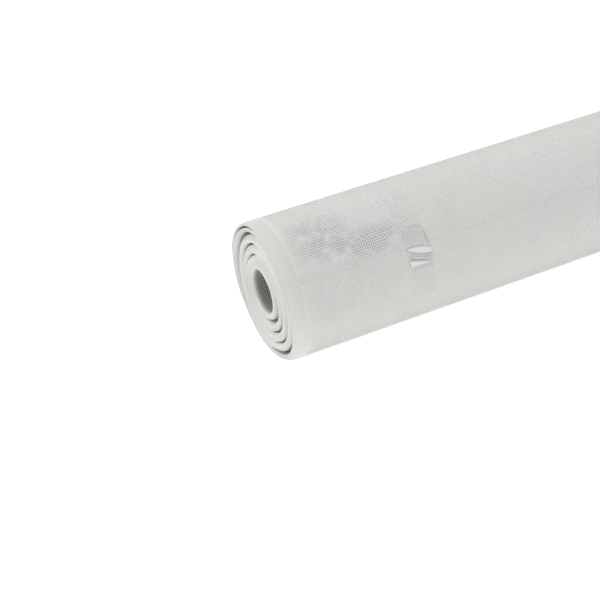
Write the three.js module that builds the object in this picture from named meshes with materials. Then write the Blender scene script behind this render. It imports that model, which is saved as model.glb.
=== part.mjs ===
// A roll of white fiberglass insect screen, wound without a core tube and held shut by one strip of clear tape.
// Millimetres, +Z up. The roll lies on a level floor with its axis along X. The origin is on the floor, under
// the middle of the roll, and the taped side faces -Y.
import * as THREE from "three";

// The roll
const SCREEN_WIDTH = 1000; // the screen is sold 1 m wide, which is the length of the roll
const ROLL_DIAMETER = 86;
const BORE_DIAMETER = 27; // left by the winding mandrel
const ROLL_SIDES = 48; // an even number, so that one flat side faces the floor

// The turns as they show on each end: bundles of turns that crept apart, with open grooves between them
const BUNDLE_TURNS = [15, 19, 21, 14, 16]; // turns in each bundle, from the bore outwards
const GROOVE_WIDTH = 0.9;
const GROOVE_DEPTH = 4; // behind the outermost bundle
const INNER_RECESS = 0.8; // the inner bundles lie this far behind the outermost one
const EDGE_ROUNDING = 1.1; // the soft edges of each bundle, and of the bore's mouth
const RIM_ROUNDING_INWARD = 2.9; // the outermost turns roll in at the end of the roll: this far towards the bore,
const RIM_ROUNDING_ALONG = 6; // and this far along the roll
const ROUNDING_STEPS = 2; // straight steps in each rounded edge

// The tape that holds the loose end of the screen
const TAPE_WIDTH = 15;
const TAPE_LENGTH = 72; // along its arc
const TAPE_THICKNESS = 0.1;
const TAPE_CLEARANCE = 0.3; // between the screen and the tape
const TAPE_FROM_END = 84; // from the near end to the tape's middle
const TAPE_MIDDLE_ANGLE = THREE.MathUtils.degToRad(48); // above the horizontal, on the -Y side
const TAPE_STEPS = 24; // straight steps along the arc

const rollRadius = ROLL_DIAMETER / 2;
const boreRadius = BORE_DIAMETER / 2;
const axisHeight = rollRadius * Math.cos(Math.PI / ROLL_SIDES); // the flat side's distance from the axis
const turnCount = BUNDLE_TURNS.reduce((sum, turns) => sum + turns, 0);
const grooveTotal = GROOVE_WIDTH * (BUNDLE_TURNS.length - 1);
const turnThickness = (rollRadius - boreRadius - grooveTotal) / turnCount;

// Points of a quarter of an ellipse about (radius, setback). Angle 0 faces the bore, and a quarter turn faces the end.
function roundedEdge(radius, setback, inward, along, fromAngle) {
  return Array.from({ length: ROUNDING_STEPS + 1 }, (_, step) => {
    const angle = fromAngle + (step / ROUNDING_STEPS) * (Math.PI / 2);
    return [radius - inward * Math.cos(angle), setback - along * Math.sin(angle)];
  });
}

// The side of a bundle that faces the bore, with its rounded edge at the end.
function innerEdge(radius, crown) {
  const centre = [radius + EDGE_ROUNDING, crown + EDGE_ROUNDING];
  return roundedEdge(...centre, EDGE_ROUNDING, EDGE_ROUNDING, 0);
}

// The side of an inner bundle that faces away from the bore.
function outerEdge(radius, crown) {
  const centre = [radius - EDGE_ROUNDING, crown + EDGE_ROUNDING];
  return roundedEdge(...centre, EDGE_ROUNDING, EDGE_ROUNDING, Math.PI / 2);
}

// The outside edge of the roll.
function rimEdge(radius, crown) {
  const centre = [radius - RIM_ROUNDING_INWARD, crown + RIM_ROUNDING_ALONG];
  return roundedEdge(...centre, RIM_ROUNDING_INWARD, RIM_ROUNDING_ALONG, Math.PI / 2);
}

// One bundle of turns in section, from its inner side to its outer side, as [radius, distance behind the end].
function bundleSection(turns, index) {
  const turnsInside = BUNDLE_TURNS.slice(0, index).reduce((sum, more) => sum + more, 0);
  const inner = boreRadius + turnsInside * turnThickness + index * GROOVE_WIDTH;
  const outer = inner + turns * turnThickness;
  const isRim = index === BUNDLE_TURNS.length - 1;
  const crown = isRim ? 0 : INNER_RECESS;
  const floorInside = index === 0 ? [] : [[inner, GROOVE_DEPTH]];
  const floorOutside = isRim ? [] : [[outer, GROOVE_DEPTH]];
  const outside = isRim ? rimEdge(outer, crown) : outerEdge(outer, crown);
  return [...floorInside, ...innerEdge(inner, crown), ...outside, ...floorOutside];
}

// The whole roll is turned about its axis: up the near end, along the outside, down the far end, back in the bore.
function screenRoll() {
  const end = BUNDLE_TURNS.map(bundleSection).flat();
  const nearEnd = end.map(([radius, setback]) => new THREE.Vector2(radius, setback - SCREEN_WIDTH / 2));
  const farEnd = end.map(([radius, setback]) => new THREE.Vector2(radius, SCREEN_WIDTH / 2 - setback)).reverse();
  const section = [...nearEnd, ...farEnd, nearEnd[0].clone()];
  const geometry = new THREE.LatheGeometry(section, ROLL_SIDES, Math.PI / ROLL_SIDES);
  const material = new THREE.MeshStandardMaterial({ color: 0xdcdcd6, roughness: 0.75, metalness: 0 });
  const roll = new THREE.Mesh(geometry, material);
  roll.name = "screen_roll";
  roll.rotation.z = -Math.PI / 2; // the lathe's axis, Y, becomes the roll's axis, X
  return roll;
}

// The tape is a thin strip bent round the roll: a sector of a ring, extruded along the axis.
function tapeStrip() {
  const innerRadius = rollRadius + TAPE_CLEARANCE;
  const outerRadius = innerRadius + TAPE_THICKNESS;
  const halfAngle = TAPE_LENGTH / innerRadius / 2;
  const ring = new THREE.Shape();
  ring.absarc(0, 0, outerRadius, TAPE_MIDDLE_ANGLE - halfAngle, TAPE_MIDDLE_ANGLE + halfAngle, false);
  ring.absarc(0, 0, innerRadius, TAPE_MIDDLE_ANGLE + halfAngle, TAPE_MIDDLE_ANGLE - halfAngle, true);
  const geometry = new THREE.ExtrudeGeometry(ring, {
    depth: TAPE_WIDTH,
    bevelEnabled: false,
    curveSegments: TAPE_STEPS,
  });
  const material = new THREE.MeshStandardMaterial({
    color: 0xe6e8e4,
    roughness: 0.15,
    metalness: 0,
    transparent: true,
    opacity: 0.35,
  });
  const tape = new THREE.Mesh(geometry, material);
  tape.name = "tape_strip";
  // The extrusion runs along X towards the near end, and the arc's zero angle points to -Y.
  tape.rotation.y = -Math.PI / 2;
  tape.rotation.x = Math.PI / 2;
  tape.position.x = TAPE_FROM_END + TAPE_WIDTH / 2 - SCREEN_WIDTH / 2;
  return tape;
}

const insectScreenRoll = new THREE.Group();
insectScreenRoll.add(screenRoll(), tapeStrip());
insectScreenRoll.position.z = axisHeight;

export default insectScreenRoll;
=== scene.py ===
import math
import bpy
import numpy as np
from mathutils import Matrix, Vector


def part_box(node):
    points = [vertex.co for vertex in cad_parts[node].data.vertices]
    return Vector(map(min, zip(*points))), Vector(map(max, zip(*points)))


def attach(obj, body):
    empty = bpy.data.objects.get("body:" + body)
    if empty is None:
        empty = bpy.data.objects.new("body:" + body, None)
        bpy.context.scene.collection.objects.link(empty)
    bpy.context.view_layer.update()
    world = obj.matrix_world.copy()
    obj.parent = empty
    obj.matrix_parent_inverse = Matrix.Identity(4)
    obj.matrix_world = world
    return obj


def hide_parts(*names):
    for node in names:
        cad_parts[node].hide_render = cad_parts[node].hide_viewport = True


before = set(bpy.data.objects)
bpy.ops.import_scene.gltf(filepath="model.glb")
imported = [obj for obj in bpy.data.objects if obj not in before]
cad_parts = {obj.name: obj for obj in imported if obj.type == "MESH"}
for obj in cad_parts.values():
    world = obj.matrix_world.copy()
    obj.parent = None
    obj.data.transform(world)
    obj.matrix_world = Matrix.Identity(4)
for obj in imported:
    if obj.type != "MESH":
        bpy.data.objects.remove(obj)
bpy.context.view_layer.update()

MM = 0.001

# The roll, from the CAD solid
roll_low, roll_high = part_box("screen_roll")
HALF_LENGTH = (roll_high.x - roll_low.x) / 2
OUTER_RADIUS = (roll_high.z - roll_low.z) / 2
AXIS_HEIGHT = (roll_high.z + roll_low.z) / 2
BORE_RADIUS = 13.5 * MM
BORE_RISE = 1.2 * MM  # the mandrel's hollow sits a little above the middle of the near end

# The screen and how it is wound
TURNS = 85
LAP_STEP = 0.05 * MM  # how far the outermost turn sinks in one turn, which is the step at its loose edge
YARN_WIDTH = 0.31 * MM
YARN_HEIGHT = 0.26 * MM
MESH_ALONG = 1.411 * MM  # 18 meshes to the inch
MESHES_AROUND = 170  # 16 meshes to the inch
BORE_MESHES = 53
LOOSE_EDGE = 43.0  # the screen's cut end lies at this angle
SEAM_STEP = 0.9995  # share of a turn at which the outermost turn ends, just short of its start
ANGLE_ROWS = 168
BED_DEPTH = YARN_HEIGHT + 0.02 * MM  # the turn under the outermost one lies this far down
LONG_YARN_SINK = 0.03 * MM  # the yarns along the roll lie a little deeper than those round it
LONG_YARN_TUCK = 0.6 * MM  # how far they run on under the selvedge
LONG_YARN_DIP = 0.16 * MM  # and how far they sink there
FRAYING = 0.0022  # share of a turn by which the yarns' cut ends differ
HOOP_STEPS = 73  # points along each yarn round the outside
BORE_HOOP_STEPS = 49
INNER_LINES = 97  # along the long middle of the roll
INNER_BORE_SPACING = 12  # its bore has one line for this many outside
# Soft patches where the openings of the outer turns line up, with painted shade in the openings and a painted
# highlight on the yarns: middle from the near end, half length, middle angle above the loose edge, half
# height, strength
LINED_UP_PATCHES = (
    (29 * MM, 19 * MM, 32, 19, 1.0),
    (56 * MM, 24 * MM, 15, 12, 1.0),
    (38 * MM, 30 * MM, -18, 16, 0.22),
)

# The end of the roll
SELVEDGE = 8.0 * MM  # the close-woven border, as it shows on the outside
BORDER_HOOPS = np.array([8.15, 8.5, 8.87, 9.28, 9.75, 10.3, 11.0, 11.9]) * MM  # the last close yarns
RIM_INWARD = 4.4 * MM  # the outermost turns roll in at the end
RIM_ALONG = 6.5 * MM
END_PIECE_DEPTH = 22.0 * MM
LINES_PER_TURN = 4
TURN_RIPPLE = 0.10 * MM  # the ridge of each turn
TURN_BLUNTNESS = 0.6
TURN_CREEP = 0.16 * MM  # how unevenly the strip's edge lies, and the turns over which that changes
TURN_CREEP_SPACING = 0.13
TURN_SHIFT = 0.24 * MM
TURN_SHIFT_SPACING = 1.7
TURN_WANDER = 0.5 * MM
TURN_WANDER_SPACING = 6.0
NEAR_SEED = 11
FAR_SEED = 23
SETTLE_FADE = 0.6 * MM  # the ridges fade out this near the bore and the rim
BUNDLE_EDGE_INWARD = 2.4 * MM
BUNDLE_EDGE_DEPTH = 2.1 * MM
BORE_MOUTH = 1.3 * MM
END_SETBACK = 0.5 * MM
CLOSED_GAP_WIDTH = 0.02 * MM  # what is left of a gap where it closes
CLOSED_GAP_DEPTH = 0.1 * MM
RIM_BULGE = 3.2 * MM  # one side of the rim stands out past the rest of the end
RIM_BULGE_ANGLES = (80, 245)
RIM_BULGE_FROM = 0.8  # share of the turns inside the bulge, and the share over which it rises
RIM_BULGE_REACH = 0.15
INNER_LIFT = 0.8 * MM  # the turns round the bore stand out too
INNER_LIFT_REACH = 0.18
GAP_WIDTH_TAPER = 0.6  # powers that make a gap's two tips blunter
GAP_DEPTH_TAPER = 0.5
# How much painted shade a gap's sides get: the inner one at its top and foot, then the outer one at its foot
# and top
GAP_SHADING = (0.75, 1.0, 1.0, 0.2)
# Where the section has lines behind the end: along the bore's wall, the selvedge and the weave's bed
BORE_WALL_LINES = np.array([END_PIECE_DEPTH, 12 * MM, 5 * MM, 3.2 * MM])
SELVEDGE_LINES = np.linspace(RIM_ALONG + 1 * MM, SELVEDGE, 3)
BED_LINES = np.array([SELVEDGE + 0.1 * MM, 9.5 * MM, 12 * MM, END_PIECE_DEPTH])
BED_SINKING = np.array([0.1, 0.5, 0.9, 1.0])  # share of the bed's depth at each of its lines
SELVEDGE_FADE = (0.9, 0.6, 0.25, 0.0)  # share of the selvedge's colour there
# Gaps between bundles of turns: turns inside the gap, then crescents as
# (first angle, last angle, width, depth)
NEAR_GAPS = (
    (14, ((282, 418, 2.5 * MM, 6 * MM),)),
    (31, ((298, 408, 2.0 * MM, 5 * MM), (108, 166, 0.9 * MM, 3 * MM))),
    (50, ((300, 412, 1.7 * MM, 4 * MM), (99, 178, 1.2 * MM, 3.5 * MM))),
    (68, ((286, 376, 2.1 * MM, 5 * MM), (94, 234, 2.3 * MM, 7 * MM))),
    (77, ((104, 195, 1.2 * MM, 4 * MM),)),
)
FAR_GAPS = (
    (18, ((70, 190, 1.4 * MM, 5 * MM),)),
    (37, ((90, 200, 0.9 * MM, 4 * MM), (250, 340, 0.8 * MM, 3 * MM))),
    (52, ((110, 215, 1.0 * MM, 3 * MM),)),
    (68, ((60, 170, 1.2 * MM, 4 * MM), (230, 330, 1.0 * MM, 4 * MM))),
)

# The yarns inside the bore, and the screen's first edge there
BORE_YARN_FIRST = 2.4 * MM  # behind the end
BORE_YARN_LAST = 90 * MM
BORE_EDGE = 205.0

# The tape, from the near end and round the roll
TAPE_PLACE = 84.0 * MM
TAPE_WIDTH = 15.0 * MM
TAPE_THICKNESS = 0.08 * MM
TAPE_FIRST = 0.0
TAPE_LAST = 95.5
TAPE_LIFT = 0.55 * MM  # where it has come away from the screen
SHADED_LIFT = 0.25  # share of that lift where the tape has painted shade
TAPE_RIPPLE = 0.12 * MM
TAPE_RIPPLE_SPACING = 2.4
TAPE_CREASED = (38, 16)  # the middle and the half height of the creased part, in degrees
TAPE_CLEARANCE = 0.02 * MM
TAPE_GRID = (241, 41)
TAPE_SEED = 5
WEDGE_SIDE_RISE = 2.2  # how steeply a wedge rises from its sides, per half width
WEDGE_END_RISE = 6  # how steeply it falls past its ends, per length
# Wedges as (first place, last place, first angle, last angle, first half width, last half width,
# swelling midway, strength): painted white highlights where the tape has come away and creased, and painted
# shade beside the creases and over the tape's upper stretch
TAPE_FLAKES = (
    (78.2 * MM, 92.2 * MM, 40.8, 36.2, 1.4, 2.4, 1.6, 1.0),
    (76.0 * MM, 92.0 * MM, 35.9, 29.6, 0.5, 0.5, 0.1, 0.9),
    (77.2 * MM, 88.5 * MM, 29.8, 28.0, 3.0, 0.5, 0.2, 1.0),
    (82.5 * MM, 90.0 * MM, 58.4, 55.8, 0.6, 0.6, 0.2, 0.35),
    (90.4 * MM, 91.4 * MM, 46.5, 45.5, 6.5, 6.5, 0.0, 0.3),
)
# The painted shade wedges, in the same columns
TAPE_SHADES = (
    (76.8 * MM, 91.2 * MM, 51.5, 48.5, 6.0, 6.0, 1.0, 0.6),
    (76.8 * MM, 91.2 * MM, 33.6, 32.2, 1.6, 1.6, 0.0, 1.0),
    (79.0 * MM, 91.2 * MM, 25.2, 24.6, 0.8, 2.4, 0.6, 0.7),
)

# The camera
LENS = 82.3
SENSOR = 36.0
PHOTO_SIZE = 600
NEAR_END_PIXEL = (262.3, 293.3)  # where the middle of the near end falls in the picture
CAMERA_DEPTH = 0.8002  # along the view, to the middle of the near end
CAMERA_ELEVATION = 42.73
CAMERA_YAW = 26.5

# The floor and the light
FLOOR_REACH = 60.0
FLOOR_GLOW = 0.46
SKY_EVEN = 0.52
SKY_BRIGHT = 1.14  # towards the direction below
SKY_TOWARDS = (-0.15, 0.5, 0.85)
SKY_FROM = -0.2  # the cosine at which the brighter part begins

# Colours
YARN_WHITE = (0.87, 0.87, 0.855, 1)
YARN_WARM = (0.83, 0.83, 0.80, 1)
# Painted highlight on the yarns where the openings line up
YARN_HIGHLIGHT = (0.98, 0.98, 0.965, 1)
TURN_WHITE = (0.83, 0.83, 0.815, 1)
# Painted shade in the openings, where the turns beneath show through: fainter where they drift past, darker
# where they line up
OPENING_SHADE = (0.54, 0.54, 0.525, 1)
OPENING_DARK = (0.25, 0.25, 0.245, 1)
EDGE_WHITE = (0.745, 0.75, 0.72, 1)
EDGE_SHADE = (0.655, 0.66, 0.625, 1)
# Painted shade down in the gaps between bundles of turns
GAP_SHADE = (0.34, 0.335, 0.30, 1)
# Painted shade inside the bore: darker copies of the screen's colours for its wall, its openings and its
# yarns
BORE_WALL = (0.34, 0.325, 0.29, 1)
BORE_OPENING_SHADE = (0.05, 0.047, 0.04, 1)
BORE_YARN = (0.50, 0.49, 0.45, 1)
TAPE_CLEAR = (0.55, 0.56, 0.54, 1)
# Painted highlight where the tape has come away and creased
TAPE_HIGHLIGHT = (0.96, 0.965, 0.955, 1)
# Painted shade beside the creases and over the tape's upper stretch
TAPE_SHADE_GREY = (0.50, 0.52, 0.50, 1)
FLOOR_PAPER = (0.9, 0.9, 0.9, 1)
OPENINGS_DEPTH = 0.3  # how strongly the painted shade in the openings that drift past shows, and how strongly the slow tone does
TONE_DEPTH = 0.25
DRIFT = 7.0  # meshes that those openings drift by
CLEAR_ALPHA = 0.018
SHADE_ALPHA = 0.05  # added to the clear tape's under the painted shade
HIGHLIGHT_ALPHA = 0.75


# Meshes from arrays
def add_mesh(name, points, faces, material, weave_uv=None, attributes=None, sharp_angle=None):
    """A mesh object from an array of points and a list of face arrays, with a row of indices a face."""
    counts = np.concatenate([np.full(len(block), block.shape[1]) for block in faces])
    corners = np.concatenate([block.ravel() for block in faces]).astype(np.int32)
    mesh = bpy.data.meshes.new(name)
    mesh.vertices.add(len(points))
    mesh.vertices.foreach_set("co", np.ascontiguousarray(points, np.float32).ravel())
    mesh.loops.add(len(corners))
    mesh.loops.foreach_set("vertex_index", corners)
    mesh.polygons.add(len(counts))
    starts = np.concatenate([[0], np.cumsum(counts)[:-1]])
    mesh.polygons.foreach_set("loop_start", starts.astype(np.int32))
    mesh.polygons.foreach_set("use_smooth", np.ones(len(counts), bool))
    if weave_uv is not None:
        layer = mesh.uv_layers.new(name="weave")
        layer.data.foreach_set("uv", weave_uv[corners].astype(np.float32).ravel())
    for key, values in (attributes or {}).items():
        attribute = mesh.attributes.new(key, "FLOAT", "POINT")
        attribute.data.foreach_set("value", values.astype(np.float32).ravel())
    mesh.update(calc_edges=True)
    mesh.validate()
    if sharp_angle:
        mesh.set_sharp_from_angle(angle=math.radians(sharp_angle))
    piece = bpy.data.objects.new(name, mesh)
    bpy.context.scene.collection.objects.link(piece)
    mesh.materials.append(material)
    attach(piece, "root")
    return piece


def grid_quads(rows, columns, wrap_rows=False, wrap_columns=False, flip=False):
    """Quads that join each point of a grid to the next, and the last to the first where it wraps."""
    index = np.arange(rows * columns).reshape(rows, columns)
    if wrap_rows:
        index = np.concatenate([index, index[:1]], 0)
    if wrap_columns:
        index = np.concatenate([index, index[:, :1]], 1)
    corners = [index[:-1, :-1], index[:-1, 1:], index[1:, 1:], index[1:, :-1]]
    quads = np.stack(corners, -1).reshape(-1, 4)
    return quads[:, ::-1] if flip else quads


def on_roll(along, radius, angle):
    """Points at a place along the axis, a distance from it and an angle round it in degrees, as x, y, z."""
    turn = np.radians(angle)
    along, radius, turn = np.broadcast_arrays(along, radius, turn)
    return np.stack([along, -radius * np.cos(turn), AXIS_HEIGHT + radius * np.sin(turn)], -1)


def straight_out(angle):
    """The direction away from the axis at an angle in degrees."""
    return on_roll(0, 1, angle) - np.array([0, 0, AXIS_HEIGHT])


def window(angle, first, last):
    """A sine arch that is 0 at the first and last angles and outside them, and 1 midway."""
    share = ((angle - first) % 360) / (last - first)
    return np.where(share < 1, np.sin(np.pi * np.clip(share, 0, 1)), 0)


def quarter_round(distance, reach):
    """The drop of a quarter circle of unit height: 1 at the edge itself and 0 at the given reach from it."""
    share = np.clip(distance / reach, 0, 1)
    return 1 - np.sqrt(1 - (1 - share) ** 2)


def smooth_noise(places, spacing, generator):
    """Random values between -1 and 1 on evenly spaced knots, joined by a cosine between neighbours."""
    position = places / spacing
    first = np.floor(position).astype(int)
    low = first.min()
    knots = generator.uniform(-1, 1, first.max() - low + 2)
    ease = (1 - np.cos(np.pi * (position - first))) / 2
    return knots[first - low] * (1 - ease) + knots[first - low + 1] * ease


# One turn of the spiral: the share of a turn from the loose edge, and what follows from it
turn_share = np.linspace(0, 1, ANGLE_ROWS)
turn_share[-1] = SEAM_STEP
row_angle = LOOSE_EDGE + 360 * turn_share


def outside_radius(share):
    """The outermost turn starts at the loose edge, and lies one step deeper when it comes round again."""
    return OUTER_RADIUS - LAP_STEP * share


def lined_up(along, angle):
    """How well the openings of the outer turns line up, which sets their painted shade and the yarns' painted
    highlight: the sum of the patches, up to 1.

    A patch is its strength times exp(-u^4 - v^4), where u and v are distances from its middle in half sizes.
    """
    from_end = along + HALF_LENGTH
    above_edge = (angle - LOOSE_EDGE + 180) % 360 - 180
    total = 0
    for middle, half_length, middle_angle, half_height, strength in LINED_UP_PATCHES:
        u = (from_end - middle) / half_length
        v = (above_edge - middle_angle) / half_height
        total = total + strength * np.exp(-u ** 4 - v ** 4)
    return np.clip(total, 0, 1)


# The ends, where the turns show
def crescents(gaps, taper, column=None):
    """Each gap's crescents at every row's angle: the sum of their arches to a power, times a table column."""
    return np.stack([
        sum(window(row_angle, *cut[:2]) ** taper * (cut[column] if column else 1) for cut in cuts)
        for _, cuts in gaps
    ], 1)


def section_lines(boundaries):
    """The lines over the turns' edges, with four copies of each line that has a gap, numbered 0 to 3.

    The four are the gap's inner side at the top and the foot, then its outer side at the foot and the top.
    """
    plain = np.arange(TURNS * LINES_PER_TURN + 1)
    copies = np.where(np.isin(plain, boundaries * LINES_PER_TURN), 4, 1)
    line = np.repeat(plain, copies)
    copy = np.arange(len(line)) - np.repeat(np.cumsum(copies) - copies, copies)
    return line, copy, np.isin(line, boundaries * LINES_PER_TURN)


def turns_settle(turn, generator):
    """How far the turns' edges lie behind an even end.

    It is a wander from turn to turn, less a ridge for each turn, |sin(pi * turns)| to a power. The height of
    the ridge changes along the strip.
    """
    passing = turn[None, :] + turn_share[:, None]
    strip = np.floor(passing) - turn_share[:, None]
    ridge = np.abs(np.sin(np.pi * passing)) ** TURN_BLUNTNESS
    creep = TURN_CREEP * smooth_noise(strip, TURN_CREEP_SPACING, generator)
    shift = TURN_SHIFT * smooth_noise(strip, TURN_SHIFT_SPACING, generator)
    wander = TURN_WANDER * smooth_noise(turn, TURN_WANDER_SPACING, generator)
    return wander[None, :] - ridge * (TURN_RIPPLE + creep + shift)


def end_turns(name, gaps, near, bore_rise, material):
    """The last stretch of the roll at one end, as one section carried round the axis.

    The section runs up the bore, over the edges of all the turns and down the outside. Each line over the
    edges is a count of turns from the bore. Its radius is the bore's, plus a share of what the open gaps
    leave, plus the gaps inside it. Its depth is a soft round at the bore, the rim and each open gap, less the
    ridges of the turns.
    """
    boundaries = np.array([turns for turns, _ in gaps])
    line, copy, on_gap = section_lines(boundaries)
    turn = line / LINES_PER_TURN
    share = turn[None, :] / TURNS
    foot = on_gap & ((copy == 1) | (copy == 2))
    angle = row_angle[:, None]
    rows = np.ones((ANGLE_ROWS, 1))
    outside = outside_radius(turn_share)[:, None]

    width = crescents(gaps, GAP_WIDTH_TAPER, 2) + CLOSED_GAP_WIDTH
    depth = crescents(gaps, GAP_DEPTH_TAPER, 3) + CLOSED_GAP_DEPTH
    opened = crescents(gaps, GAP_DEPTH_TAPER)
    gaps_inside = np.searchsorted(boundaries, turn, side="left") + (on_gap & (copy >= 2))
    gaps_total = np.concatenate([0 * rows, np.cumsum(width, 1)], 1)
    radius = BORE_RADIUS + share * (outside - BORE_RADIUS - gaps_total[:, -1:]) + gaps_total[:, gaps_inside]

    rounds = BORE_MOUTH * quarter_round(radius - BORE_RADIUS, BORE_MOUTH)
    rounds = rounds + RIM_ALONG * quarter_round(outside - radius, RIM_INWARD)
    # Painted shade on the gaps' sides, by GAP_SHADING
    gap_painted_shade = 0
    for index, boundary in enumerate(boundaries):
        here = line == boundary * LINES_PER_TURN
        reach = np.abs(turn - boundary)[None, :] * (outside - BORE_RADIUS) / TURNS
        edge = BUNDLE_EDGE_DEPTH * quarter_round(reach, BUNDLE_EDGE_INWARD)
        rounds = rounds + opened[:, index:index + 1] * edge
        rounds = rounds + depth[:, index:index + 1] * (foot & here)
        gap_painted_shade = gap_painted_shade + opened[:, index:index + 1] * np.array(GAP_SHADING)[copy] * here
    fade = np.clip((outside - radius) / SETTLE_FADE, 0, 1)
    fade = fade * np.clip((radius - BORE_RADIUS) / SETTLE_FADE, 0, 1)
    settle = turns_settle(turn, np.random.default_rng(NEAR_SEED if near else FAR_SEED)) * fade
    rising = np.clip((share - RIM_BULGE_FROM) / RIM_BULGE_REACH, 0, 1)
    bulge = RIM_BULGE * window(angle, *RIM_BULGE_ANGLES) * rising
    inner_lift = INNER_LIFT * np.clip(1 - share / INNER_LIFT_REACH, 0, 1)
    behind = END_SETBACK + rounds + settle - bulge - inner_lift

    # The bore's wall before the turns' edges, and the selvedge and the weave's bed after them
    before, after = len(BORE_WALL_LINES), len(SELVEDGE_LINES) + len(BED_LINES)
    wall = BORE_RADIUS * np.ones(before)
    selvedge = outside * np.ones(len(SELVEDGE_LINES))
    radius = np.concatenate([rows * wall, radius, selvedge, outside - BED_DEPTH * BED_SINKING], 1)
    behind = np.concatenate([rows * BORE_WALL_LINES, behind, rows * SELVEDGE_LINES, rows * BED_LINES], 1)
    side = -1 if near else 1
    points = on_roll(side * (HALF_LENGTH - behind), radius, angle)
    bore_share = np.clip(1 - (radius - BORE_RADIUS) / (outside - BORE_RADIUS), 0, 1)
    points[..., 2] += bore_rise * bore_share ** 2
    columns = points.shape[1]
    place = points[..., 0]

    meshes = np.full(columns, MESHES_AROUND)
    meshes[:before + 1] = BORE_MESHES
    uv = np.stack([place / MESH_ALONG, turn_share[:, None] * meshes], -1)
    on_edge = np.ones(columns)
    on_edge[:before] = 0
    on_edge[columns - len(BED_LINES):] = SELVEDGE_FADE
    in_bore = np.zeros(columns)
    in_bore[:before] = 1
    marks = {
        "lined_up": lined_up(place, angle),
        "turns_edge": rows * on_edge,
        "gap_painted_shade": np.pad(gap_painted_shade, ((0, 0), (before, after))),
        "in_bore": rows * in_bore,
    }
    quads = grid_quads(ANGLE_ROWS, columns, wrap_rows=True, wrap_columns=True, flip=not near)
    return add_mesh(name, points.reshape(-1, 3), [quads], material, uv.reshape(-1, 2), marks, sharp_angle=60)


def inner_turns(material):
    """The long middle of the roll under its outermost turn: a spiral outside, and the bore inside."""
    along = np.linspace(-1, 1, INNER_LINES) * (HALF_LENGTH - END_PIECE_DEPTH)
    bore_along = along[::-INNER_BORE_SPACING]
    place = np.concatenate([along, bore_along])[None, :] * np.ones((ANGLE_ROWS, 1))
    outside = (outside_radius(turn_share) - BED_DEPTH)[:, None] * np.ones(INNER_LINES)
    bore = BORE_RADIUS * np.ones((ANGLE_ROWS, len(bore_along)))
    points = on_roll(place, np.concatenate([outside, bore], 1), row_angle[:, None])
    rise = np.interp(bore_along, [-HALF_LENGTH, 0, HALF_LENGTH], [BORE_RISE, 0, 0])
    points[:, INNER_LINES:, 2] += rise[None, :]
    quads = grid_quads(ANGLE_ROWS, place.shape[1], wrap_rows=True, wrap_columns=True)
    uv = np.stack([place / MESH_ALONG, turn_share[:, None] * MESHES_AROUND * np.ones_like(place)], -1)
    uv[:, INNER_LINES:, 1] *= BORE_MESHES / MESHES_AROUND
    nothing = np.zeros_like(place)
    in_bore = nothing.copy()
    in_bore[:, INNER_LINES:] = 1
    marks = {
        "lined_up": lined_up(place, row_angle[:, None]),
        "turns_edge": nothing,
        "gap_painted_shade": nothing,
        "in_bore": in_bore,
    }
    name = "inner_turns"
    return add_mesh(name, points.reshape(-1, 3), [quads], material, uv.reshape(-1, 2), marks, sharp_angle=60)


# The outermost turn, yarn by yarn
def yarn_section(sides=3):
    """Offsets of a yarn's corners from its middle, across and outwards. The first points outwards."""
    turn = np.pi / 2 + 2 * np.pi * np.arange(sides) / sides
    return YARN_WIDTH / 2 * np.cos(turn), YARN_HEIGHT / 2 * np.sin(turn)


def yarn_tubes(name, centres, across, outwards, material, angle):
    """Tubes round many centre lines at once, capped at both ends. A ring is its centre plus the section."""
    side, lift = yarn_section()
    yarns, steps, sides = centres.shape[0], centres.shape[1], len(side)
    ring = side[:, None] * across[:, :, None, :] + lift[:, None] * outwards[:, :, None, :]
    points = centres[:, :, None, :] + ring
    one = grid_quads(steps, sides, wrap_columns=True)
    start = np.arange(yarns)[:, None] * steps * sides
    quads = (one[None] + start[:, :, None]).reshape(-1, 4)
    cap_low = start + np.arange(sides)[None, :]
    cap_high = start + (steps - 1) * sides + np.arange(sides)[None, ::-1]
    # Where the openings line up, which sets the yarns' painted highlight
    bright = np.repeat(lined_up(centres[..., 0], angle).ravel(), sides)
    caps = np.concatenate([cap_low, cap_high])[:, ::-1]
    return add_mesh(name, points.reshape(-1, 3), [quads, caps], material, attributes={"lined_up": bright})


def hoop_yarns(name, places, material):
    """The yarns that run round the roll. Each starts at the loose edge, a little frayed, for one turn."""
    share = np.linspace(0, 1, HOOP_STEPS)[None, :] * np.ones((len(places), 1))
    # Each set of yarns has a seed of its own, from its first place
    generator = np.random.default_rng(int(abs(places[0]) * 1e5))
    share[:, 0] -= generator.uniform(0, FRAYING, len(places))
    angle = LOOSE_EDGE + 360 * share
    radius = outside_radius(share) - YARN_HEIGHT / 2
    centres = on_roll(places[:, None], radius, angle)
    outwards = straight_out(angle)
    across = np.broadcast_to(np.array([-1.0, 0, 0]), centres.shape)
    return yarn_tubes(name, centres, across, outwards, material, angle)


def long_yarns(name, material):
    """The yarns that run along the roll, evenly round it, which dip under the selvedge at both ends."""
    share = (np.arange(MESHES_AROUND) + 0.5)[:, None] / MESHES_AROUND
    reach = HALF_LENGTH - SELVEDGE
    tucked = reach + LONG_YARN_TUCK
    place = np.array([-tucked, -reach, -reach / 2, 0, reach / 2, reach, tucked])[None, :]
    dip = LONG_YARN_DIP * (np.abs(place) > reach + LONG_YARN_TUCK / 2)
    angle = LOOSE_EDGE + 360 * share + 0 * place
    radius = outside_radius(share) - YARN_HEIGHT / 2 - LONG_YARN_SINK - dip
    centres = on_roll(place + 0 * share, radius, angle)
    outwards = straight_out(angle)
    sideways = np.stack([0 * angle, np.sin(np.radians(angle)), np.cos(np.radians(angle))], -1)
    return yarn_tubes(name, centres, sideways, outwards, material, angle)


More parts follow.
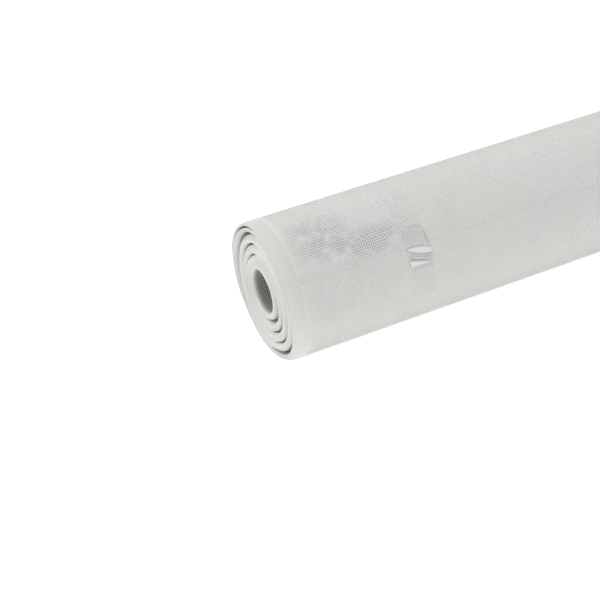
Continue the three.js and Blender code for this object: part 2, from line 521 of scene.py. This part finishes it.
def bore_hoop_yarns(name, near, material):
    """The yarns that run round inside the bore, for a hand's width behind one end."""
    side, rise = (-1, BORE_RISE) if near else (1, 0)
    depths = np.arange(BORE_YARN_FIRST, BORE_YARN_LAST, MESH_ALONG)
    once_round = np.linspace(BORE_EDGE, BORE_EDGE + 360 * SEAM_STEP, BORE_HOOP_STEPS)
    angle = once_round[None, :] + 0 * depths[:, None]
    place = side * (HALF_LENGTH - depths)[:, None] + 0 * angle
    centres = on_roll(place, BORE_RADIUS - YARN_HEIGHT / 2, angle) + np.array([0, 0, rise])
    inwards = -straight_out(angle)
    across = np.broadcast_to(np.array([1.0, 0, 0]), centres.shape)
    return yarn_tubes(name, centres, across, inwards, material, angle)


def bore_long_yarns(name, near, material):
    """The yarns that run along the bore, evenly round it, for a hand's width behind one end."""
    side, rise = (-1, BORE_RISE) if near else (1, 0)
    angle = (BORE_EDGE + 360 * (np.arange(BORE_MESHES) + 0.5) / BORE_MESHES)[:, None] * np.ones(4)
    depths = np.linspace(BORE_YARN_FIRST, BORE_YARN_LAST, 4)[None, :][:, ::-side]
    place = side * (HALF_LENGTH - depths) + 0 * angle
    radius = BORE_RADIUS - YARN_HEIGHT / 2 + LONG_YARN_SINK
    centres = on_roll(place, radius, angle) + np.array([0, 0, rise])
    inwards = -straight_out(angle)
    sideways = np.stack([0 * angle, -np.sin(np.radians(angle)), -np.cos(np.radians(angle))], -1)
    return yarn_tubes(name, centres, sideways, inwards, material, angle)


# The tape
def patch_mask(place, angle, patch):
    """A soft wedge on the tape, of the patch's strength inside and 0 outside.

    It runs from one place along the roll to another. Its middle angle and its half width change evenly
    between them, and the half width swells midway.
    """
    first, last, first_angle, last_angle, first_half, last_half, swell, strength = patch
    share = (place - first) / (last - first)
    inside = np.clip(share, 0, 1)
    half = first_half + (last_half - first_half) * inside + swell * np.sin(np.pi * inside)
    across = 1 - np.abs(angle - first_angle - (last_angle - first_angle) * inside) / half
    ends = np.clip(1 + WEDGE_END_RISE * np.minimum(share, 1 - share), 0, 1)
    soft = np.clip(across * WEDGE_SIDE_RISE, 0, 1) * ends
    return strength * soft * soft * (3 - 2 * soft)


def tape_film(name, material):
    """The clear tape: an upper and a lower sheet on one grid, joined all round, and lifted at its creases."""
    rows, columns = TAPE_GRID
    angle = np.linspace(TAPE_FIRST, TAPE_LAST, rows)[:, None] * np.ones(columns)
    from_end = (TAPE_PLACE + TAPE_WIDTH * np.linspace(-0.5, 0.5, columns))[None, :] * np.ones((rows, 1))
    generator = np.random.default_rng(TAPE_SEED)
    # The creases' lift, with their painted highlight and painted shade
    flakes = np.max([patch_mask(from_end, angle, patch) for patch in TAPE_FLAKES], 0)
    shaded = np.max([patch_mask(from_end, angle, patch) for patch in TAPE_SHADES], 0)
    ripple = smooth_noise(angle[:, 0], TAPE_RIPPLE_SPACING, generator)[:, None]
    ripple = ripple * np.sin(np.pi * np.linspace(0, 1, columns)) ** 2
    creased_middle, creased_half = TAPE_CREASED
    near_creases = np.exp(-((angle - creased_middle) / creased_half) ** 2)
    lift = TAPE_CLEARANCE + TAPE_LIFT * (flakes + SHADED_LIFT * shaded) + TAPE_RIPPLE * ripple * near_creases
    under = on_roll(from_end - HALF_LENGTH, OUTER_RADIUS + lift, angle)
    over = on_roll(from_end - HALF_LENGTH, OUTER_RADIUS + lift + TAPE_THICKNESS, angle)
    points = np.concatenate([over.reshape(-1, 3), under.reshape(-1, 3)])
    count = rows * columns
    top = grid_quads(rows, columns)
    index = np.arange(count).reshape(rows, columns)
    rim = np.concatenate([index[0, :-1], index[:-1, -1], index[-1, :0:-1], index[:0:-1, 0]])
    following = np.roll(rim, -1)
    wall = np.stack([rim, rim + count, following + count, following], -1)
    marks = {"flake": np.tile(flakes.ravel(), 2), "shaded": np.tile(shaded.ravel(), 2)}
    faces = [top, (top + count)[:, ::-1], wall]
    return add_mesh(name, points, faces, material, attributes=marks, sharp_angle=50)


# Materials
def add_node(tree, kind, inputs=None, **settings):
    """A node with its settings, whose inputs are values or other nodes' sockets."""
    made = tree.nodes.new(kind)
    for key, value in settings.items():
        setattr(made, key, value)
    for key, value in (inputs or {}).items():
        if isinstance(value, bpy.types.NodeSocket):
            tree.links.new(value, made.inputs[key])
        else:
            made.inputs[key].default_value = value
    return made


def math_node(tree, operation, *values):
    """The result of a math node on values or sockets."""
    return add_node(tree, "ShaderNodeMath", dict(enumerate(values)), operation=operation).outputs[0]


def group_with(name, inputs, outputs):
    """An empty shader node group with named inputs and outputs, each a (name, socket type, default)."""
    tree = bpy.data.node_groups.new(name, "ShaderNodeTree")
    for label, kind, default in inputs:
        socket = tree.interface.new_socket(label, in_out="INPUT", socket_type=kind)
        if default is not None:
            socket.default_value = default
    for label, kind in outputs:
        tree.interface.new_socket(label, in_out="OUTPUT", socket_type=kind)
    return tree, tree.nodes.new("NodeGroupInput").outputs, tree.nodes.new("NodeGroupOutput").inputs


def noise_node(tree, place, scale, detail):
    """A noise texture over a place."""
    return add_node(tree, "ShaderNodeTexNoise", {"Vector": place, "Scale": scale, "Detail": detail})


def openings_group():
    """The openings of one turn of screen, in mesh units: 1 inside each opening and 0 on the yarns."""
    tree, given, result = group_with(
        "weave_openings",
        [
            ("Mesh", "NodeSocketVector", None),
            ("Yarn Share", "NodeSocketFloat", 0.3),
            ("Softness", "NodeSocketFloat", 0.3),
        ],
        [("Openings", "NodeSocketFloat")],
    )
    split = add_node(tree, "ShaderNodeSeparateXYZ", {0: given["Mesh"]})
    sides = []
    for axis in ("X", "Y"):
        place = math_node(tree, "FRACT", split.outputs[axis])
        middle = math_node(tree, "ABSOLUTE", math_node(tree, "SUBTRACT", place, 0.5))
        from_yarn = math_node(tree, "SUBTRACT", 0.5, middle)
        edge = math_node(tree, "MULTIPLY", given["Yarn Share"], 0.5)
        far = math_node(tree, "ADD", edge, given["Softness"])
        ramp = {"Value": from_yarn, "From Min": edge, "From Max": far}
        sides.append(add_node(tree, "ShaderNodeMapRange", ramp, interpolation_type="SMOOTHSTEP").outputs[0])
    tree.links.new(math_node(tree, "MULTIPLY", *sides), result["Openings"])
    return tree


def tone_group():
    """Slow changes of tone over a surface, from -0.5 to 0.5 about an even value."""
    tree, given, result = group_with(
        "slow_tone",
        [("Scale", "NodeSocketFloat", 12.0), ("Detail", "NodeSocketFloat", 3.0)],
        [("Tone", "NodeSocketFloat")],
    )
    place = add_node(tree, "ShaderNodeTexCoord").outputs["Object"]
    noise = noise_node(tree, place, given["Scale"], given["Detail"]).outputs[0]
    tree.links.new(math_node(tree, "SUBTRACT", noise, 0.5), result["Tone"])
    return tree


def new_material(name, roughness, specular):
    """A material, its node tree and its shader."""
    material = bpy.data.materials.new(name)
    material.use_nodes = True
    shader = material.node_tree.nodes["Principled BSDF"]
    shader.inputs["Roughness"].default_value = roughness
    shader.inputs["Specular IOR Level"].default_value = specular
    return material, material.node_tree, shader


def mix_color(tree, factor, first, second):
    return add_node(tree, "ShaderNodeMix", {0: factor, 6: first, 7: second}, data_type="RGBA").outputs[2]


def place_group(tree, group, inputs):
    return add_node(tree, "ShaderNodeGroup", inputs, node_tree=group).outputs[0]


def mark(tree, name):
    """One of the values stored on a piece's points."""
    return add_node(tree, "ShaderNodeAttribute", attribute_name=name).outputs["Fac"]


def yarn_material(name, tone, first, second, bright=None):
    """Coated yarn between two whites, with a painted highlight where the openings line up."""
    material, tree, shader = new_material(name, roughness=0.5, specular=0.4)
    slow = place_group(tree, tone, {"Scale": 14.0, "Detail": 4.0})
    color = mix_color(tree, math_node(tree, "ADD", 0.5, slow), first, second)
    # Painted highlight where the openings line up
    if bright:
        color = mix_color(tree, mark(tree, "lined_up"), color, bright)
    tree.links.new(color, shader.inputs["Base Color"])
    return material


def wound_material(openings, tone):
    """The turns under the outermost one. Their openings, with painted shade in them, line up with it in
    patches, and drift past elsewhere.

    The turns' edges are smooth and slightly creamy, with painted shade down in the gaps. The bore is darker
    with painted shade.
    """
    material, tree, shader = new_material("wound_screen", roughness=0.6, specular=0.3)
    uv = add_node(tree, "ShaderNodeUVMap", uv_map="weave").outputs[0]
    place = add_node(tree, "ShaderNodeTexCoord").outputs["Object"]
    own = place_group(tree, openings, {"Mesh": uv, "Yarn Share": 0.24, "Softness": 0.16})
    drift = noise_node(tree, place, scale=16.0, detail=1.0).outputs["Color"]
    moved = add_node(tree, "ShaderNodeVectorMath", {0: drift, 3: DRIFT}, operation="SCALE").outputs[0]
    shifted = add_node(tree, "ShaderNodeVectorMath", {0: uv, 1: moved}, operation="ADD").outputs[0]
    other = place_group(tree, openings, {"Mesh": shifted, "Yarn Share": 0.3, "Softness": 0.3})
    spots = noise_node(tree, place, scale=140.0, detail=2.0).outputs[0]
    ramp = {"Value": spots, "From Min": 0.28, "From Max": 0.52}
    ragged = add_node(tree, "ShaderNodeMapRange", ramp).outputs[0]
    # Painted shade: dark in the openings where they line up, fainter in those that drift past, mixed with the
    # slow tone
    strong = math_node(tree, "MULTIPLY", math_node(tree, "MULTIPLY", own, mark(tree, "lined_up")), ragged)
    slow = place_group(tree, tone, {"Scale": 22.0, "Detail": 3.0})
    drifting = math_node(tree, "MULTIPLY", other, OPENINGS_DEPTH)
    faint = math_node(tree, "ADD", drifting, math_node(tree, "MULTIPLY", slow, TONE_DEPTH))
    barrel = mix_color(tree, strong, mix_color(tree, faint, TURN_WHITE, OPENING_SHADE), OPENING_DARK)
    rings = mix_color(tree, math_node(tree, "ADD", 0.4, slow), EDGE_WHITE, EDGE_SHADE)
    # Painted shade down in the gaps
    rings = mix_color(tree, mark(tree, "gap_painted_shade"), rings, GAP_SHADE)
    # Painted shade inside the bore
    bore = mix_color(tree, own, BORE_WALL, BORE_OPENING_SHADE)
    outside = mix_color(tree, mark(tree, "turns_edge"), barrel, rings)
    tree.links.new(mix_color(tree, mark(tree, "in_bore"), outside, bore), shader.inputs["Base Color"])
    return material


def tape_material():
    """Clear film, with a painted white highlight where it has come away from the screen, and painted shade
    beside its creases.
    """
    material, tree, shader = new_material("clear_tape", roughness=0.5, specular=0.3)
    # Painted shade beside the creases
    shaded_film = mix_color(tree, mark(tree, "shaded"), TAPE_CLEAR, TAPE_SHADE_GREY)
    # Painted highlight on the creases
    tree.links.new(mix_color(tree, mark(tree, "flake"), shaded_film, TAPE_HIGHLIGHT), shader.inputs["Base Color"])
    shaded_alpha = math_node(tree, "MULTIPLY", mark(tree, "shaded"), SHADE_ALPHA)
    flake_alpha = math_node(tree, "MULTIPLY", mark(tree, "flake"), HIGHLIGHT_ALPHA)
    alpha = math_node(tree, "ADD", math_node(tree, "ADD", CLEAR_ALPHA, shaded_alpha), flake_alpha)
    tree.links.new(alpha, shader.inputs["Alpha"])
    return material


# The camera, the floor and the light
def view_axes():
    """The camera's directions into the picture, to its right and down it."""
    turn, tilt = math.radians(CAMERA_YAW), math.radians(CAMERA_ELEVATION)
    into = np.array([math.sin(turn) * math.cos(tilt), math.cos(turn) * math.cos(tilt), -math.sin(tilt)])
    right = np.array([math.cos(turn), -math.sin(turn), 0])
    return into, right, np.cross(into, right)


def add_camera():
    """Stands the camera so that the middle of the near end falls on its pixel at its depth."""
    into, right, down = view_axes()
    pixels_per_depth = LENS / SENSOR * PHOTO_SIZE
    shift_right = (NEAR_END_PIXEL[0] - PHOTO_SIZE / 2) / pixels_per_depth * CAMERA_DEPTH
    shift_down = (NEAR_END_PIXEL[1] - PHOTO_SIZE / 2) / pixels_per_depth * CAMERA_DEPTH
    near_end = np.array([-HALF_LENGTH, 0, AXIS_HEIGHT])
    data = bpy.data.cameras.new("camera")
    data.lens = LENS
    data.sensor_width = SENSOR
    data.clip_end = 50
    camera = bpy.data.objects.new("camera", data)
    bpy.context.scene.collection.objects.link(camera)
    camera.location = near_end - right * shift_right - down * shift_down - into * CAMERA_DEPTH
    camera.rotation_euler = (math.radians(90 - CAMERA_ELEVATION), 0, -math.radians(CAMERA_YAW))
    bpy.context.scene.camera = camera


def add_floor():
    """A wide, plain, pale floor, with a faint glow of its own."""
    mesh = bpy.data.meshes.new("floor")
    corners = FLOOR_REACH * np.array([(-1, -1, 0), (1, -1, 0), (1, 1, 0), (-1, 1, 0)])
    mesh.from_pydata(corners.tolist(), [], [(0, 1, 2, 3)])
    floor = bpy.data.objects.new("floor", mesh)
    bpy.context.scene.collection.objects.link(floor)
    material, tree, shader = new_material("floor_paper", roughness=0.9, specular=0.1)
    shader.inputs["Base Color"].default_value = FLOOR_PAPER
    shader.inputs["Emission Color"].default_value = (1, 1, 1, 1)
    shader.inputs["Emission Strength"].default_value = FLOOR_GLOW
    mesh.materials.append(material)


def add_light():
    """An even white surround, brighter towards the back and the top."""
    world = bpy.data.worlds.new("studio")
    bpy.context.scene.world = world
    world.use_nodes = True
    tree = world.node_tree
    direction = add_node(tree, "ShaderNodeTexCoord").outputs["Generated"]
    facing = add_node(tree, "ShaderNodeVectorMath", {0: direction, 1: SKY_TOWARDS}, operation="DOT_PRODUCT")
    limits = {"From Min": SKY_FROM, "From Max": 1.0, "To Min": SKY_EVEN, "To Max": SKY_BRIGHT}
    ramp = {"Value": facing.outputs["Value"], **limits}
    bright = add_node(tree, "ShaderNodeMapRange", ramp, interpolation_type="SMOOTHSTEP")
    tree.nodes["Background"].inputs["Color"].default_value = (1, 1, 1, 1)
    tree.links.new(bright.outputs[0], tree.nodes["Background"].inputs["Strength"])
    bpy.context.scene.view_settings.view_transform = "Standard"


add_camera()
add_floor()
add_light()

openings = openings_group()
tone = tone_group()
yarn = yarn_material("pvc_coated_yarn", tone, YARN_WHITE, YARN_WARM, YARN_HIGHLIGHT)
# The bore's yarns: a darker copy of the yarn, as painted shade
shaded_yarn = yarn_material("shaded_bore_yarn", tone, BORE_YARN, YARN_WARM)
wound = wound_material(openings, tone)
clear = tape_material()

reach = HALF_LENGTH - SELVEDGE
hoops_each_way = math.floor(reach / MESH_ALONG)
hoops = np.arange(-hoops_each_way, hoops_each_way + 1) * MESH_ALONG
border = HALF_LENGTH - BORDER_HOOPS
core = inner_turns(wound)
screen_pieces = [
    core,
    end_turns("near_end_turns", NEAR_GAPS, True, BORE_RISE, wound),
    end_turns("far_end_turns", FAR_GAPS, False, 0.0, wound),
    hoop_yarns("outer_hoop_yarns_near", np.concatenate([-border, hoops[hoops < 0]]), yarn),
    hoop_yarns("outer_hoop_yarns_far", np.concatenate([hoops[hoops >= 0], border[::-1]]), yarn),
    long_yarns("outer_long_yarns", yarn),
    bore_hoop_yarns("near_bore_hoop_yarns", True, shaded_yarn),
    bore_hoop_yarns("far_bore_hoop_yarns", False, shaded_yarn),
    bore_long_yarns("near_bore_long_yarns", True, shaded_yarn),
    bore_long_yarns("far_bore_long_yarns", False, shaded_yarn),
]
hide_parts("screen_roll")
tape = tape_film("creased_tape", clear)
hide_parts("tape_strip")
